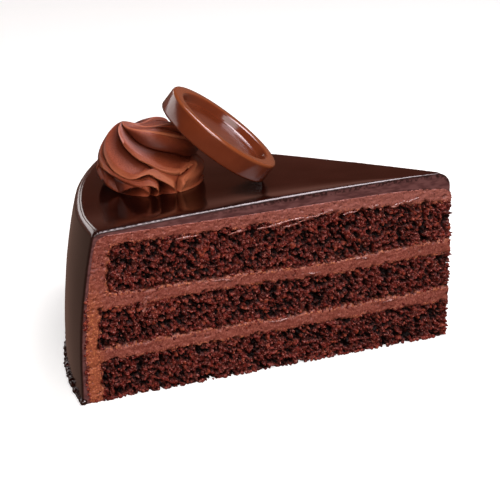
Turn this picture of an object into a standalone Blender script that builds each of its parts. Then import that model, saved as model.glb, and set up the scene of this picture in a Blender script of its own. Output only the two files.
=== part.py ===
"""A slice of chocolate layer cake, about an eighth of a round cake.

Three layers of dark sponge hold two fillings of chocolate cream. A coat of the same cream covers the
top and the outer side, and a poured glaze covers the coat. A piped rosette stands on the glaze near the
outer side, and a moulded chocolate disc leans on the rosette.

Frame: metres, +Z up. The pointed end is at +X, the curved outer side at -X, and the origin lies on the
plane the slice stands on, in the middle of its footprint. A place on the slice is given by its radius
from the cake's axis and by its turn, which is -1 on the right-hand cut and +1 on the left-hand cut.
"""
import math

import bmesh
import bpy
from mathutils import Matrix, Vector

MM = 0.001

# The whole cake and the slice
CAKE_RADIUS = 120 * MM           # widest radius of the glazed cake
SLICE_ANGLE = math.radians(46)   # cut by hand, a little over an eighth
TIP_BLUNT = 0.8 * MM             # radius at which the pointed end stops, at the base
TIP_LEAN = 1.1 * MM              # how much further in it stops at the top
GAP = 0.3 * MM                   # left between touching pieces

# Heights of the flat faces between the layers
SPONGE_1_TOP = 12.5 * MM
FILLING_1_TOP = 16.2 * MM
SPONGE_2_TOP = 29.0 * MM
FILLING_2_TOP = 32.5 * MM
SPONGE_3_TOP = 47.4 * MM
COAT_TOP = 50.2 * MM
GLAZE_RIM_TOP = 51.9 * MM

# How the layers depart from flat
LAYER_WAVE = 0.35 * MM           # unevenness of each layer
SHORT_WAVE = 13 * MM
LONG_WAVE = 29 * MM
FILLING_DIP = 1.3 * MM           # the upper filling sinks here
DIP_RADIUS = 45 * MM
DIP_WIDTH = 20 * MM
TIP_SINK = 1.5 * MM              # the top sponge is lower at the pointed end
SINK_LENGTH = 25 * MM
COAT_RISE = 1.2 * MM             # the coat thickens towards the pointed end
GLAZE_RISE = 3.4 * MM            # and so does the glaze, which ran there
RISE_RADIUS = 112 * MM
GLAZE_LIP = 1.2 * MM             # bead of glaze along the right-hand cut
LIP_SPAN = 0.45                  # how far the bead reaches in, in turns
TIP_SLUMP = 4.2 * MM             # the top rounds down over the pointed end
SLUMP_LENGTH = 5.0 * MM

# The outer side
CORE_RADIUS = 114.6 * MM         # the stacked layers inside the coat
CORE_FOOT = 1.0 * MM             # the bottom sponge draws in at the base
CORE_SHOULDER = 0.7 * MM         # and the middle one at its top
TOP_SPONGE_FOOT = 111.3 * MM     # the top sponge is smaller, so the coat is thicker round it
TOP_SPONGE_RADIUS = 110.4 * MM
SIDE_LEAN = 4.6 * MM             # the side leans in by this much at the top
LEAN_START = 8 * MM
LEAN_SPAN = 41 * MM
GLAZE_SIDE = 1.2 * MM            # thickness of the glaze high on the side
GLAZE_FOOT = 1.1 * MM            # what is added to it at the base
GLAZE_CORNER = 4.0 * MM          # rounding between side and top
COAT_CORNER = 3.0 * MM

# The rosette, piped through a star nozzle
ROSETTE_PLACE = (-32.5 * MM, 0.5 * MM)
ROSETTE_RADIUS = 17.8 * MM
ROSETTE_HEIGHT = 18.4 * MM
ROSETTE_TUCK = 0.12              # how far its foot draws in, as a share of the radius
TUCK_LEVEL = 0.12                # and up to what share of the height
DOME_POWER = 0.8
ROSETTE_RIDGES = 7
RIDGE_DEPTH = 0.30
HOLLOW_POWER = 0.8               # below 1, so the ridges are sharp and the hollows round
ROSETTE_TWIST = math.radians(125)
RIDGE_START = math.radians(20)
PEAK_LEAN = (-8.2 * MM, 0.5 * MM)
SHOULDER_TURN = math.radians(28)  # the fold under the disc reaches out this way
SHOULDER_SPREAD = 0.65           # radians
SHOULDER_REACH = 34 * MM
SHOULDER_DROP = 0.4 * MM
SHOULDER_RISE = 4                # powers of the level: it swells towards the top
SHOULDER_END = 40                # and closes at the peak

# The moulded disc, leaning with its recess up
DISC_CENTRE = (-9.45 * MM, -4.25 * MM, 70.45 * MM)
DISC_TILT = math.radians(37.1)
DISC_HEADING = math.radians(3.3)
DISC_RADIUS = 18.9 * MM
DISC_THICKNESS = 6.4 * MM
RECESS_RADIUS = 15.2 * MM
RECESS_DEPTH = 2.6 * MM
DISC_EDGE = 0.6 * MM

# How finely the solids are divided
TURN_STEPS = 12
RADIUS_STEPS = 13
CORNER_STEPS = 4
SIDE_STEPS = 6
STATION_CROWDING = 1.5
RIDGE_POINTS = 8
ROSETTE_LEVELS = 14
DISC_SEGMENTS = 56
DISC_EDGE_STEPS = 2

SHARP_EDGE = math.radians(57)    # the disc's rims are sharper than this before they are rounded
SMOOTH_BELOW = math.radians(35)

HALF_ANGLE = SLICE_ANGLE / 2
AXIS_X = (CAKE_RADIUS + TIP_BLUNT * math.cos(HALF_ANGLE)) / 2


# ---------------------------------------------------------------- helpers

def clear_scene():
    for thing in list(bpy.data.objects):
        bpy.data.objects.remove(thing, do_unlink=True)


def food_material(name, colour, roughness):
    material = bpy.data.materials.new(name)
    material.use_nodes = True
    shader = material.node_tree.nodes["Principled BSDF"]
    shader.inputs["Base Color"].default_value = (*colour, 1.0)
    shader.inputs["Roughness"].default_value = roughness
    shader.inputs["Metallic"].default_value = 0.0
    return material


def finish_object(name, bm, material):
    bmesh.ops.recalc_face_normals(bm, faces=bm.faces)
    if bm.calc_volume(signed=True) < 0:
        bmesh.ops.reverse_faces(bm, faces=bm.faces)
    mesh = bpy.data.meshes.new(name)
    bm.to_mesh(mesh)
    bm.free()
    mesh.materials.append(material)
    mesh.shade_smooth()
    mesh.set_sharp_from_angle(angle=SMOOTH_BELOW)
    thing = bpy.data.objects.new(name, mesh)
    bpy.context.scene.collection.objects.link(thing)
    return thing


def smooth_step(value):
    value = min(max(value, 0.0), 1.0)
    return value * value * (3 - 2 * value)


def bell(value):
    return math.exp(-value * value)


def place(radius, turn, height):
    """The point at this radius and turn, in the slice's frame."""
    angle = turn * HALF_ANGLE
    return Vector((AXIS_X - radius * math.cos(angle), radius * math.sin(angle), height))


def polar(x, y):
    """The radius and turn of a point."""
    return math.hypot(AXIS_X - x, y), math.atan2(y, AXIS_X - x) / HALF_ANGLE


# ---------------------------------------------------------------- heights between layers

def wave(radius, turn, phase):
    """Slow unevenness of a spread layer; each layer has a phase of its own."""
    along = math.sin(radius / SHORT_WAVE + phase)
    across = math.sin(radius / LONG_WAVE + 1.7 * turn + 2.3 * phase)
    return LAYER_WAVE * (along + across) / 2


def base_height(radius, turn):
    return 0.0


def sponge_1_top(radius, turn):
    return SPONGE_1_TOP + wave(radius, turn, 0.4)


def filling_1_top(radius, turn):
    return FILLING_1_TOP + wave(radius, turn, 1.9)


def dip(radius):
    return FILLING_DIP * bell((radius - DIP_RADIUS) / DIP_WIDTH)


def sponge_2_top(radius, turn):
    return SPONGE_2_TOP + wave(radius, turn, 3.1) - dip(radius)


def filling_2_top(radius, turn):
    return FILLING_2_TOP + wave(radius, turn, 4.4) - dip(radius)


def sponge_3_top(radius, turn):
    sink = TIP_SINK * bell(radius / SINK_LENGTH)
    return SPONGE_3_TOP + wave(radius, turn, 5.2) - sink


def coat_top(radius, turn):
    rise = COAT_RISE * (1 - (radius / CAKE_RADIUS) ** 2)
    slump = TIP_SINK * bell(radius / SLUMP_LENGTH)
    return COAT_TOP + wave(radius, turn, 5.9) + rise - slump


def glaze_top(radius, turn):
    rise = GLAZE_RISE * (1 - (radius / RISE_RADIUS) ** 2)
    lip = GLAZE_LIP * smooth_step((turn + 1) / LIP_SPAN)
    slump = TIP_SLUMP * bell(radius / SLUMP_LENGTH)
    return GLAZE_RIM_TOP + rise - lip - slump


def tip_radius(height):
    """The pointed end leans back a little as it rises."""
    return TIP_BLUNT + TIP_LEAN * (height / COAT_TOP) ** 2


# ---------------------------------------------------------------- radii of the outer side

def side_radius(height):
    return CAKE_RADIUS - SIDE_LEAN * (max(height - LEAN_START, 0.0) / LEAN_SPAN) ** 2


def coat_radius(height):
    foot = GLAZE_FOOT * (1 - min(height / COAT_TOP, 1.0)) ** 2
    return side_radius(height) - GLAZE_SIDE - foot


# ---------------------------------------------------------------- layers

def sector_slab(name, stations, under, over, material):
    """A slab bent over the sector: a grid laid on the under face, then extruded to the over face.

    under and over give the radius and height of a station, a number from 0 at the pointed end to
    1 at the far end of the slab, at a turn.
    """
    bm = bmesh.new()
    bmesh.ops.create_grid(bm, x_segments=stations, y_segments=TURN_STEPS, size=1.0)
    grid = {vert: ((vert.co.x + 1) / 2, vert.co.y) for vert in bm.verts}
    lifted = bmesh.ops.extrude_face_region(bm, geom=bm.faces[:])
    raised = [item for item in lifted["geom"] if isinstance(item, bmesh.types.BMVert)]
    for vert in raised:
        station, turn = (vert.co.x + 1) / 2, vert.co.y
        vert.co = place_on(over, station, turn)
    for vert, (station, turn) in grid.items():
        vert.co = place_on(under, station, turn)
    return finish_object(name, bm, material)


def place_on(face, station, turn):
    radius, height = face(station, turn)
    return place(radius, turn, height)


def spread(station, turn, height_of, outer_radius):
    """Stations crowd towards the pointed end, where the shape changes fastest."""
    inner = tip_radius(height_of(0.0, turn))
    return inner + station ** STATION_CROWDING * (outer_radius - inner)


def flat_face(height_of, outer_radius, offset):
    """A layer's upper or lower face, moved up by offset."""
    def face(station, turn):
        radius = spread(station, turn, height_of, outer_radius)
        return radius, height_of(radius, turn) + offset
    return face


# The layered core: the height and radius of each level, from the base up
CORE = (
    (base_height, CORE_RADIUS - CORE_FOOT),
    (sponge_1_top, CORE_RADIUS),
    (filling_1_top, CORE_RADIUS),
    (sponge_2_top, CORE_RADIUS - CORE_SHOULDER),
    (filling_2_top, TOP_SPONGE_FOOT),
    (sponge_3_top, TOP_SPONGE_RADIUS),
)


LAYER_NAMES = ("sponge_bottom", "filling_lower", "sponge_middle", "filling_upper", "sponge_top")


def make_layer(name, level, material):
    """One layer of the core, between a level and the next one up."""
    lift = 0.0 if level == 0 else GAP / 2
    under = flat_face(*CORE[level], lift)
    over = flat_face(*CORE[level + 1], -GAP / 2)
    return sector_slab(name, RADIUS_STEPS, under, over, material)


# ---------------------------------------------------------------- coat and glaze

BEND_STATIONS = RADIUS_STEPS + CORNER_STEPS + SIDE_STEPS


def bent_face(height_of, side, corner, offset):
    """A face that runs out along the top, rounds the corner and goes down the side to the base.

    side gives the radius and height at a step down the side, from the corner at a given height.
    """
    def face(station, turn):
        step = round(station * BEND_STATIONS)
        bend_radius = side(0, turn, height_of(CAKE_RADIUS, turn) - corner)[0] - corner
        if step <= RADIUS_STEPS:
            radius = spread(step / RADIUS_STEPS, turn, height_of, bend_radius)
            return radius, height_of(radius, turn) + offset
        shoulder = height_of(bend_radius, turn) + offset - corner
        if step < RADIUS_STEPS + CORNER_STEPS:
            angle = (step - RADIUS_STEPS) / CORNER_STEPS * math.pi / 2
            reach = side(0, turn, shoulder)[0] + offset - bend_radius
            return bend_radius + reach * math.sin(angle), shoulder + corner * math.cos(angle)
        radius, height = side(step - RADIUS_STEPS - CORNER_STEPS, turn, shoulder)
        return radius + offset, height
    return face


def core_side(step, turn, shoulder):
    """The coat's inner side follows the layers, with one step halfway down the top sponge."""
    if step == 0:
        return TOP_SPONGE_RADIUS + GAP, shoulder
    if step == 1:
        middle = (TOP_SPONGE_RADIUS + TOP_SPONGE_FOOT) / 2
        return middle + GAP, (shoulder + FILLING_2_TOP) / 2
    height_of, radius = CORE[SIDE_STEPS - step]
    return radius + GAP, height_of(radius, turn)


def coat_side(step, turn, shoulder):
    height = shoulder * (1 - step / SIDE_STEPS)
    return coat_radius(height), height


def glaze_side(step, turn, shoulder):
    height = shoulder * (1 - step / SIDE_STEPS)
    return side_radius(height), height


def make_coat(material):
    under = bent_face(sponge_3_top, core_side, GAP, GAP / 2)
    over = bent_face(coat_top, coat_side, COAT_CORNER, -GAP / 2)
    return sector_slab("cream_coat", BEND_STATIONS, under, over, material)


def make_glaze(material):
    under = bent_face(coat_top, coat_side, COAT_CORNER, GAP / 2)
    over = bent_face(glaze_top, glaze_side, GLAZE_CORNER, 0.0)
    return sector_slab("glaze", BEND_STATIONS, under, over, material)


# ---------------------------------------------------------------- rosette

def rosette_point(bearing, level):
    """A point of the rosette's skin: sharp ridges and round hollows that wind up to the peak.

    A bearing keeps to its ridge or hollow all the way up.
    """
    angle = bearing + RIDGE_START - ROSETTE_TWIST * level
    tuck = 1 - ROSETTE_TUCK * (1 - smooth_step(level / TUCK_LEVEL))
    dome = (1 - level ** 2) ** DOME_POWER
    hollow = abs(math.sin(ROSETTE_RIDGES * bearing / 2)) ** HOLLOW_POWER
    away = (angle - SHOULDER_TURN + math.pi) % (2 * math.pi) - math.pi
    swell = level ** SHOULDER_RISE * (1 - level ** SHOULDER_END)
    shoulder = bell(away / SHOULDER_SPREAD) * swell
    outline = ROSETTE_RADIUS * tuck * dome + SHOULDER_REACH * shoulder
    reach = outline * (1 - RIDGE_DEPTH * hollow)
    lean = level ** 2
    x = ROSETTE_PLACE[0] + PEAK_LEAN[0] * lean + reach * math.cos(angle)
    y = ROSETTE_PLACE[1] + PEAK_LEAN[1] * lean + reach * math.sin(angle)
    foot = glaze_top(*polar(x, y)) + GAP
    peak = GLAZE_RIM_TOP + ROSETTE_HEIGHT - SHOULDER_DROP * shoulder
    return Vector((x, y, foot * (1 - level) + peak * level))


def make_rosette(material):
    bm = bmesh.new()
    points = ROSETTE_RIDGES * RIDGE_POINTS
    bmesh.ops.create_circle(bm, cap_ends=True, cap_tris=True, segments=points, radius=ROSETTE_RADIUS)
    ring = [edge for edge in bm.edges if edge.is_boundary]
    for step in range(1, ROSETTE_LEVELS + 1):
        level = math.sin(step / (ROSETTE_LEVELS + 1) * math.pi / 2)
        raised = bmesh.ops.extrude_edge_only(bm, edges=ring)["geom"]
        ring = [item for item in raised if isinstance(item, bmesh.types.BMEdge)]
        for vert in (item for item in raised if isinstance(item, bmesh.types.BMVert)):
            vert.co.z = level
    for vert in bm.verts:
        bearing = math.atan2(vert.co.y, vert.co.x)
        centred = vert.co.xy.length < MM
        middle = Vector((*ROSETTE_PLACE, glaze_top(*polar(*ROSETTE_PLACE)) + GAP))
        vert.co = middle if centred else rosette_point(bearing, vert.co.z)
    bmesh.ops.contextual_create(bm, geom=ring)
    bmesh.ops.triangulate(bm, faces=[face for face in bm.faces if len(face.verts) > 4])
    return finish_object("rosette", bm, material)


# ---------------------------------------------------------------- disc

def disc_pose():
    """Stands the disc's axis up to its lean, with the recess facing out."""
    tilt = Matrix.Rotation(DISC_TILT, 4, "Y")
    heading = Matrix.Rotation(DISC_HEADING, 4, "Z")
    return Matrix.Translation(DISC_CENTRE) @ heading @ tilt


def disc_blank(bm, radius, thickness):
    """A plain round blank whose top face lies at the origin."""
    bmesh.ops.create_circle(bm, cap_ends=True, segments=DISC_SEGMENTS, radius=radius)
    bmesh.ops.translate(bm, verts=bm.verts, vec=(0, 0, -thickness))
    lifted = bmesh.ops.extrude_face_region(bm, geom=bm.faces[:])
    raised = [item for item in lifted["geom"] if isinstance(item, bmesh.types.BMVert)]
    bmesh.ops.translate(bm, verts=raised, vec=(0, 0, thickness))
    return next(item for item in lifted["geom"] if isinstance(item, bmesh.types.BMFace))


def make_disc(material):
    bm = bmesh.new()
    top = disc_blank(bm, DISC_RADIUS, DISC_THICKNESS)
    bmesh.ops.inset_region(bm, faces=[top], thickness=DISC_RADIUS - RECESS_RADIUS)
    floor = bmesh.ops.extrude_face_region(bm, geom=[top])["geom"]
    bmesh.ops.translate(
        bm,
        verts=[item for item in floor if isinstance(item, bmesh.types.BMVert)],
        vec=(0, 0, -RECESS_DEPTH),
    )
    if top.is_valid:
        bmesh.ops.delete(bm, geom=[top], context="FACES_ONLY")
    rims = [edge for edge in bm.edges if edge.calc_face_angle(0.0) > SHARP_EDGE]
    bmesh.ops.bevel(
        bm, geom=rims, offset=DISC_EDGE, segments=DISC_EDGE_STEPS, profile=0.5, affect="EDGES"
    )
    disc = finish_object("chocolate_disc", bm, material)
    disc.matrix_world = disc_pose()
    return disc


def make_disc_clearance():
    """The space the disc takes up, with the gap all round; it cuts the rosette."""
    bm = bmesh.new()
    disc_blank(bm, DISC_RADIUS + GAP, DISC_THICKNESS + 2 * GAP)
    bmesh.ops.translate(bm, verts=bm.verts, vec=(0, 0, GAP))
    clearance = finish_object("disc_clearance", bm, food_material("guide", (1, 1, 1), 1.0))
    clearance.matrix_world = disc_pose()
    clearance.hide_render = True
    clearance.display_type = "WIRE"
    return clearance


def seat_disc(rosette, clearance):
    cut = rosette.modifiers.new("disc seat", "BOOLEAN")
    cut.operation = "DIFFERENCE"
    cut.solver = "EXACT"
    cut.object = clearance


# ---------------------------------------------------------------- the slice

def main():
    clear_scene()
    sponge = food_material("chocolate sponge", (0.044, 0.011, 0.009), 0.85)
    cream = food_material("chocolate cream", (0.204, 0.049, 0.030), 0.55)
    glaze = food_material("mirror glaze", (0.030, 0.006, 0.004), 0.08)
    piped = food_material("piped cream", (0.262, 0.070, 0.039), 0.50)
    chocolate = food_material("moulded chocolate", (0.105, 0.024, 0.009), 0.28)

    for level, name in enumerate(LAYER_NAMES):
        make_layer(name, level, sponge if name.startswith("sponge") else cream)
    make_coat(cream)
    make_glaze(glaze)
    rosette = make_rosette(piped)
    make_disc(chocolate)
    seat_disc(rosette, make_disc_clearance())


main()
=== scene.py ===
# %% [markdown]
# # A slice of chocolate layer cake
#
# The solid model already gives the slice its true size: three sponges, two fillings, a coat of cream, a
# poured glaze, a piped rosette and a moulded disc. This lesson gives each of them its finish. It starts by
# loading the solids, which stay where they are. Every new piece is made in the same frame, in metres, with
# +Z up, the pointed end at +X and the curved side at -X.

# %% Load the solid model
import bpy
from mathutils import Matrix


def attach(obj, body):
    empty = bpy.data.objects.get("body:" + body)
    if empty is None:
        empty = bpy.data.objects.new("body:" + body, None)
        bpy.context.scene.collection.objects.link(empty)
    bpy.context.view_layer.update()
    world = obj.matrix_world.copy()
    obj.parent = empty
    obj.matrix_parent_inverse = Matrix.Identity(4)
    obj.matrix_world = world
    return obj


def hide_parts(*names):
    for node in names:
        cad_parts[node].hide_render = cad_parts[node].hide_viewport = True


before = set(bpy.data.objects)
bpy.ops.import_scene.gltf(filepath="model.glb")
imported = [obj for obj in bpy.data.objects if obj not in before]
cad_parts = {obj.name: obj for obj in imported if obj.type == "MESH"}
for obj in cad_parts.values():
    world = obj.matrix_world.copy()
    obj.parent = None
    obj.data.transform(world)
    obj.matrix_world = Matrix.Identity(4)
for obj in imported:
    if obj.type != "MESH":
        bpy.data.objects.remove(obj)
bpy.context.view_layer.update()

import math

import bpy
import numpy as np

MM = 0.001
print("solids:", ", ".join(sorted(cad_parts)))

# %% [markdown]
# ## The studio
#
# Glossy food is drawn by what it reflects. Five soft boxes do the work here. One stands low on the left
# like a window, and gives the patch on the disc's wall and the line down the curved corner. A long strip
# hangs overhead, and draws the bright line along the cut edge of the glaze. These two show in reflections
# only. A plainer box beside the strip lights the top, and a large one stands high behind the camera. A low
# one under it fills the cut face and the cream's folds, and shows in no reflection. The room itself is dark
# and warm, so that the glaze stays dark. The floor is pale.

# %% Camera and floor
CAMERA_PLACE = (-2.2 * MM, -392.5 * MM, 185.2 * MM)
CAMERA_PITCH = math.radians(90 - 21.69)
LENS = 97.97
FLOOR_HALF = 3.0
FLOOR_COLOUR = (0.95, 0.95, 0.95)
FLOOR_GLOW = 0.55


def clear_selection():
    """Leaves edit mode and deselects everything, as an operator acts on all that is selected."""
    if bpy.context.object and bpy.context.object.mode != "OBJECT":
        bpy.ops.object.mode_set(mode="OBJECT")
    bpy.ops.object.select_all(action="DESELECT")


def pick(piece):
    """Makes one piece the only one selected, so that an operator acts on it alone."""
    clear_selection()
    bpy.context.view_layer.objects.active = piece
    piece.select_set(True)


def make_camera():
    bpy.ops.object.camera_add(location=CAMERA_PLACE, rotation=(CAMERA_PITCH, 0.0, 0.0))
    camera = bpy.context.object
    camera.name = "camera"
    camera.data.lens = LENS
    camera.data.clip_start = 0.01
    camera.data.clip_end = 20.0
    bpy.context.scene.camera = camera


def make_floor():
    clear_selection()
    bpy.ops.mesh.primitive_plane_add(size=2 * FLOOR_HALF)
    floor = bpy.context.object
    floor.name = "floor"
    material = bpy.data.materials.new("pale_floor")
    material.use_nodes = True
    shader = material.node_tree.nodes["Principled BSDF"]
    shader.inputs["Base Color"].default_value = (*FLOOR_COLOUR, 1.0)
    shader.inputs["Roughness"].default_value = 0.9
    shader.inputs["Emission Color"].default_value = (1.0, 1.0, 1.0, 1.0)
    shader.inputs["Emission Strength"].default_value = FLOOR_GLOW
    floor.data.materials.append(material)
    floor.visible_glossy = False
    floor.visible_diffuse = False


clear_selection()
make_camera()
make_floor()
print("camera", round(math.degrees(math.pi / 2 - CAMERA_PITCH), 1), "degrees above the horizon")

# %% Soft boxes and the dark room
DIFFUSE_SHARE = 0.5
SLICE_MIDDLE = np.array((0.0, 0.0, 35 * MM))


def soft_box(name, azimuth, elevation, distance, size, radiance, colour=(1.0, 1.0, 1.0)):
    """A rectangular light that faces the slice. Azimuth 0 is behind the slice, 90 is to its right."""
    turn, rise = math.radians(azimuth), math.radians(elevation)
    away = np.array((math.sin(turn) * math.cos(rise), math.cos(turn) * math.cos(rise), math.sin(rise)))
    bpy.ops.object.light_add(type="AREA", location=SLICE_MIDDLE + away * distance)
    lamp = bpy.context.object
    lamp.name = name
    lamp.rotation_euler = (math.pi / 2 - rise, 0.0, math.pi - turn)
    lamp.data.shape = "RECTANGLE"
    lamp.data.size, lamp.data.size_y = size
    lamp.data.energy = radiance * math.pi * size[0] * size[1]
    lamp.data.color = colour
    return lamp


def make_lights():
    window = soft_box("window", -58, 19.5, 0.9, (1.40, 0.20), 2.6, (1.0, 0.95, 0.94))
    soft_box("overhead", 75, 66, 0.8, (0.42, 0.46), 6.0, (1.0, 0.97, 0.97))
    strip = soft_box("strip", 80, 68, 0.8, (1.0, 0.34), 13.0, (1.0, 0.84, 0.92))
    soft_box("key", 170, 38, 0.9, (0.66, 0.46), 4.8, (1.0, 0.97, 0.95))
    low_fill = soft_box("low_fill", 176, 20, 0.9, (0.50, 0.35), 5.5, (1.0, 0.96, 0.93))
    window.visible_diffuse = False
    strip.visible_diffuse = False
    low_fill.visible_glossy = False


# Each stop is a share of the way from straight down to straight up, and the room's colour there.
ROOM_GLOW = ((0.0, (0.19, 0.11, 0.085)), (0.49, (0.19, 0.11, 0.085)), (0.52, (0.34, 0.14, 0.105)),
             (0.67, (0.16, 0.045, 0.027)), (0.80, (0.03, 0.022, 0.02)))


def make_room():
    """A dark room that glows warmly near the horizon, and lights matt surfaces at half strength.

    The camera itself sees it as pale beyond the floor.
    """
    world = bpy.data.worlds.new("room")
    bpy.context.scene.world = world
    world.use_nodes = True
    tree = world.node_tree
    tree.nodes.clear()
    output = tree.nodes.new("ShaderNodeOutputWorld")
    way, parts = tree.nodes.new("ShaderNodeTexCoord"), tree.nodes.new("ShaderNodeSeparateXYZ")
    share, glow = tree.nodes.new("ShaderNodeMapRange"), tree.nodes.new("ShaderNodeValToRGB")
    tree.links.new(way.outputs["Generated"], parts.inputs[0])
    tree.links.new(parts.outputs["Z"], share.inputs["Value"])
    share.inputs["From Min"].default_value = -1.0
    tree.links.new(share.outputs[0], glow.inputs[0])
    stops = glow.color_ramp.elements
    for number, (position, colour) in enumerate(ROOM_GLOW):
        stop = stops[number] if number < len(stops) else stops.new(position)
        stop.position, stop.color = position, (*colour, 1.0)
    pale, warm = tree.nodes.new("ShaderNodeBackground"), tree.nodes.new("ShaderNodeBackground")
    pale.inputs["Color"].default_value = (1.0, 1.0, 1.0, 1.0)
    tree.links.new(glow.outputs["Color"], warm.inputs["Color"])
    path, choose = tree.nodes.new("ShaderNodeLightPath"), tree.nodes.new("ShaderNodeMixShader")
    dim = tree.nodes.new("ShaderNodeMapRange")
    dim.inputs["To Min"].default_value, dim.inputs["To Max"].default_value = 1.0, DIFFUSE_SHARE
    tree.links.new(path.outputs["Is Diffuse Ray"], dim.inputs["Value"])
    tree.links.new(dim.outputs[0], warm.inputs["Strength"])
    tree.links.new(path.outputs["Is Camera Ray"], choose.inputs[0])
    tree.links.new(warm.outputs[0], choose.inputs[1])
    tree.links.new(pale.outputs[0], choose.inputs[2])
    tree.links.new(choose.outputs[0], output.inputs["Surface"])


make_lights()
make_room()
bpy.context.scene.view_settings.view_transform = "Standard"

# %% [markdown]
# ## The slice's own coordinates
#
# A cake is round, so a place in a slice is easiest to give by its distance from the cake's axis, its angle
# and its height. The angle is 0 in the middle of the slice. The layers aren't quite flat: each has a slow
# wave, the upper filling sinks near the pointed end, and the glaze is thickest there. The same driving
# sizes made the solids, so the pieces below fill the same space.

# %% Sizes of the cake, in mm
CAKE_RADIUS = 120.0
HALF_ANGLE = math.radians(23)
TIP_BLUNT = 0.8
TIP_LEAN = 1.1
AXIS_X = (CAKE_RADIUS + TIP_BLUNT * math.cos(HALF_ANGLE)) / 2
CUT_SINE, CUT_COSINE = math.sin(HALF_ANGLE), math.cos(HALF_ANGLE)

SPONGE_TOPS = (12.5, 29.0, 47.4)
FILLING_TOPS = (16.2, 32.5)
COAT_TOP = 50.2
GLAZE_RIM_TOP = 51.9

LAYER_WAVE, SHORT_WAVE, LONG_WAVE = 0.35, 13.0, 29.0
DIP_DEPTH, DIP_RADIUS, DIP_WIDTH = 1.3, 45.0, 20.0
GLAZE_BULGE, GLAZE_LIP_FALL = 3.4, 1.2
TIP_ROUND = 4.6
COAT_ROUND = 2.6


def bell(value):
    return np.exp(-value * value)


def smooth_step(value):
    value = np.clip(value, 0.0, 1.0)
    return value * value * (3 - 2 * value)


def place(radius, angle, height):
    """Points in the frame, in metres, from their radius, angle and height."""
    x = AXIS_X - radius * np.cos(angle)
    y = radius * np.sin(angle)
    return np.stack(np.broadcast_arrays(x, y, height), axis=-1) * MM


def polar(x, y):
    """The radius and angle of points given in mm."""
    return np.hypot(AXIS_X - x, y), np.arctan2(y, AXIS_X - x)

# %% Heights of the layers
def wave(radius, angle, phase):
    """Slow unevenness of a spread layer; each layer has a phase of its own."""
    along = np.sin(radius / SHORT_WAVE + phase)
    across = np.sin(radius / LONG_WAVE + 1.7 * angle / HALF_ANGLE + 2.3 * phase)
    return LAYER_WAVE * (along + across) / 2


def filling_dip(radius):
    """How far the upper filling sinks on its way to the pointed end."""
    return DIP_DEPTH * bell((radius - DIP_RADIUS) / DIP_WIDTH)


def tip_drop(radius, rounding):
    """How far the rounded top corner of the pointed end falls below the top."""
    left = np.clip(1 - (radius - TIP_BLUNT - TIP_LEAN) / rounding, 0.0, 1.0)
    return rounding * (1 - np.sqrt(1 - left ** 2))


def base(radius, angle):
    """The flat underside."""
    return 0.0 * radius


def sponge_1_top(radius, angle):
    return SPONGE_TOPS[0] + wave(radius, angle, 0.4)


def filling_1_top(radius, angle):
    return FILLING_TOPS[0] + wave(radius, angle, 1.9)


def sponge_2_top(radius, angle):
    return SPONGE_TOPS[1] + wave(radius, angle, 3.1) - filling_dip(radius)


def filling_2_top(radius, angle):
    return FILLING_TOPS[1] + wave(radius, angle, 4.4) - filling_dip(radius)


def sponge_3_top(radius, angle):
    return SPONGE_TOPS[2] + wave(radius, angle, 5.2) - 1.5 * bell(radius / 25.0)


def coat_top(radius, angle):
    rise = 0.4 * (1 - (radius / CAKE_RADIUS) ** 2) - 1.1 * bell(radius / 9.0)
    return COAT_TOP + wave(radius, angle, 5.9) + rise - tip_drop(radius, COAT_ROUND)


def glaze_top(radius, angle):
    rise = GLAZE_BULGE * (1 - (radius / 112.0) ** 2)
    fall = GLAZE_LIP_FALL * smooth_step((angle / HALF_ANGLE + 1) / 0.45)
    return GLAZE_RIM_TOP + rise - fall - 0.98 * tip_drop(radius, TIP_ROUND)

# %% Radii of the ends
CORE_HEIGHTS = (0.0, SPONGE_TOPS[0], FILLING_TOPS[0], SPONGE_TOPS[1], FILLING_TOPS[1], SPONGE_TOPS[2])
CORE_RADII = (113.6, 114.6, 114.6, 113.9, 111.3, 110.4)
TIP_FOOT = 2.4


def tip_radius(height):
    """The pointed end leans back as it rises, and its foot is rounded."""
    foot = np.clip(1 - height / TIP_FOOT, 0.0, 1.0)
    rounded = TIP_FOOT * (1 - np.sqrt(1 - foot ** 2)) * 0.8
    return TIP_BLUNT + TIP_LEAN * (height / COAT_TOP) ** 2 + rounded


def core_radius(height):
    return np.interp(height, CORE_HEIGHTS, CORE_RADII)


def side_radius(height):
    return CAKE_RADIUS - 4.6 * (np.maximum(height - 8.0, 0.0) / 41.0) ** 2


def coat_radius(height):
    return side_radius(height) - 1.2 - 1.1 * (1 - np.minimum(height / COAT_TOP, 1.0)) ** 2


print("slice", round(CAKE_RADIUS), "mm long, glaze", round(float(glaze_top(60.0, 0.0)) - COAT_TOP, 1),
      "mm over the coat's rim at the middle")

# %% [markdown]
# ## Fine blocks
#
# Each layer shows only on the two cuts, so that is where the mesh has to be fine. A grid is laid out as one
# cut, with as many faces as the crumb needs, and extruded across to the other cut in a few steps. That
# gives a closed block with two fine ends and long plain faces between them. A rule then moves each vertex
# from its place in the grid to its place in the slice, which is bending the block without a bend tool.

# %% A block of faces, bent into the slice
def grid_block(name, along, across, stations):
    """A closed block: its two cuts have `along` by `across` faces, and its stations lie between them."""
    clear_selection()
    bpy.ops.mesh.primitive_grid_add(x_subdivisions=along, y_subdivisions=across, size=1.0)
    block = bpy.context.object
    block.name = block.data.name = name
    bpy.ops.object.mode_set(mode="EDIT")
    bpy.ops.mesh.select_all(action="SELECT")
    for _ in range(stations - 1):
        bpy.ops.mesh.extrude_region_move(TRANSFORM_OT_translate={"value": (0.0, 0.0, 1.0)})
    bpy.ops.object.mode_set(mode="OBJECT")
    return block


def get_points(piece):
    flat = np.empty(len(piece.data.vertices) * 3, np.float32)
    piece.data.vertices.foreach_get("co", flat)
    return flat.reshape(-1, 3).astype(float)


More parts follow.
